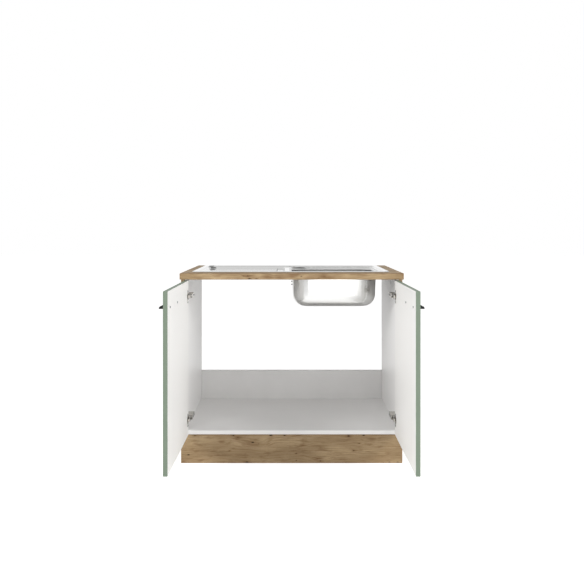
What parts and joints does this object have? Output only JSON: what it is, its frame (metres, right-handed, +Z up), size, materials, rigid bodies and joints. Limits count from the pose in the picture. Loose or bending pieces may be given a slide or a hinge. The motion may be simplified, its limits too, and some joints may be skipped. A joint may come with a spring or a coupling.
{
  "type": "kitchen sink unit",
  "caption": "Kitchen sink base cabinet with hinged doors, a wood-look worktop and an inset steel sink with a bowl and a draining board.",
  "frame": {"origin": "middle of the unit's width, where the wall plane behind it meets the floor", "axes": "+Z up, +X to the right seen from the front, the front and the open doors along -Y"},
  "size_m": [1.006, 1.076, 0.863],
  "materials": {
    "oak_decor": "wood-grain decor on board, matt, with knots",
    "white_board": "white melamine on board",
    "oak_white_board": "oak decor outside and on the front edge, white inside",
    "sage_board": "sage green lacquered front, white inside face",
    "bare_wood": "bare timber",
    "zinc_steel": "zinc plated",
    "nickel_steel": "nickel plated, satin",
    "sink_steel": "satin stainless sheet",
    "dark_plastic": "dark moulded plastic",
    "foam_seal": "soft foam strip",
    "black_metal": "matt black"
  },
  "bodies": {
    "cabinet": {"worktop": "oak_decor", "bottom_panel": "white_board", "back_rail": "white_board", "left_side_panel": "oak_white_board", "right_side_panel": "oak_white_board", "plinth_front": "oak_decor", "plinth_rear": "white_board", "left_plinth_side": "oak_decor", "right_plinth_side": "oak_decor", "plinth_corner_blocks": "bare_wood", "plinth_dowels": "bare_wood", "carcass_screws": "zinc_steel", "worktop_brackets": "zinc_steel", "bracket_screws": "zinc_steel", "sink_deck": "sink_steel", "sink_bowl": "sink_steel", "overflow_cover": "dark_plastic", "sink_seal": "foam_seal", "sink_clips": "zinc_steel", "clip_screws": "zinc_steel", "hinge_plate_screws": "zinc_steel", "hinge_arm_screws": "zinc_steel", "left_upper_hinge_arm": "nickel_steel", "left_upper_hinge_plate": "nickel_steel", "left_lower_hinge_arm": "nickel_steel", "left_lower_hinge_plate": "nickel_steel", "right_upper_hinge_arm": "nickel_steel", "right_upper_hinge_plate": "nickel_steel", "right_lower_hinge_arm": "nickel_steel", "right_lower_hinge_plate": "nickel_steel"},
    "left_door": {"left_door": "sage_board", "left_handle": "black_metal", "left_handle_screws": "zinc_steel", "left_cup_screws": "zinc_steel", "left_upper_hinge_cup": "nickel_steel", "left_upper_hinge_pin": "nickel_steel", "left_lower_hinge_cup": "nickel_steel", "left_lower_hinge_pin": "nickel_steel"},
    "right_door": {"right_door": "sage_board", "right_handle": "black_metal", "right_handle_screws": "zinc_steel", "right_cup_screws": "zinc_steel", "right_upper_hinge_cup": "nickel_steel", "right_upper_hinge_pin": "nickel_steel", "right_lower_hinge_cup": "nickel_steel", "right_lower_hinge_pin": "nickel_steel"},
    "left_upper_link": {"left_upper_hinge_link": "nickel_steel"},
    "left_lower_link": {"left_lower_hinge_link": "nickel_steel"},
    "right_upper_link": {"right_upper_hinge_link": "nickel_steel"},
    "right_lower_link": {"right_lower_hinge_link": "nickel_steel"}
  },
  "joints": [
    {"name": "left_door_hinge", "type": "hinge", "parent": "cabinet", "child": "left_door", "pos_m": [-0.489, -0.5885, 0.481], "axis": [0, 0, -1], "range_deg": [-90, 10]},
    {"name": "right_door_hinge", "type": "hinge", "parent": "cabinet", "child": "right_door", "pos_m": [0.489, -0.5885, 0.481], "axis": [0, 0, 1], "range_deg": [-90, 10]},
    {"name": "left_upper_link_pivot", "type": "hinge", "parent": "left_door", "child": "left_upper_link", "pos_m": [-0.4675, -0.6015, 0.756], "axis": [0, 0, -1], "range_deg": [-10, 90]},
    {"name": "left_lower_link_pivot", "type": "hinge", "parent": "left_door", "child": "left_lower_link", "pos_m": [-0.4675, -0.6015, 0.206], "axis": [0, 0, -1], "range_deg": [-10, 90]},
    {"name": "right_upper_link_pivot", "type": "hinge", "parent": "right_door", "child": "right_upper_link", "pos_m": [0.4675, -0.6015, 0.756], "axis": [0, 0, 1], "range_deg": [-10, 90]},
    {"name": "right_lower_link_pivot", "type": "hinge", "parent": "right_door", "child": "right_lower_link", "pos_m": [0.4675, -0.6015, 0.206], "axis": [0, 0, 1], "range_deg": [-10, 90]}
  ],
  "couplings": [
    {"joint": "left_upper_link_pivot", "follows": "left_door_hinge", "ratio": -1},
    {"joint": "left_lower_link_pivot", "follows": "left_door_hinge", "ratio": -1},
    {"joint": "right_upper_link_pivot", "follows": "right_door_hinge", "ratio": -1},
    {"joint": "right_lower_link_pivot", "follows": "right_door_hinge", "ratio": -1}
  ]
}
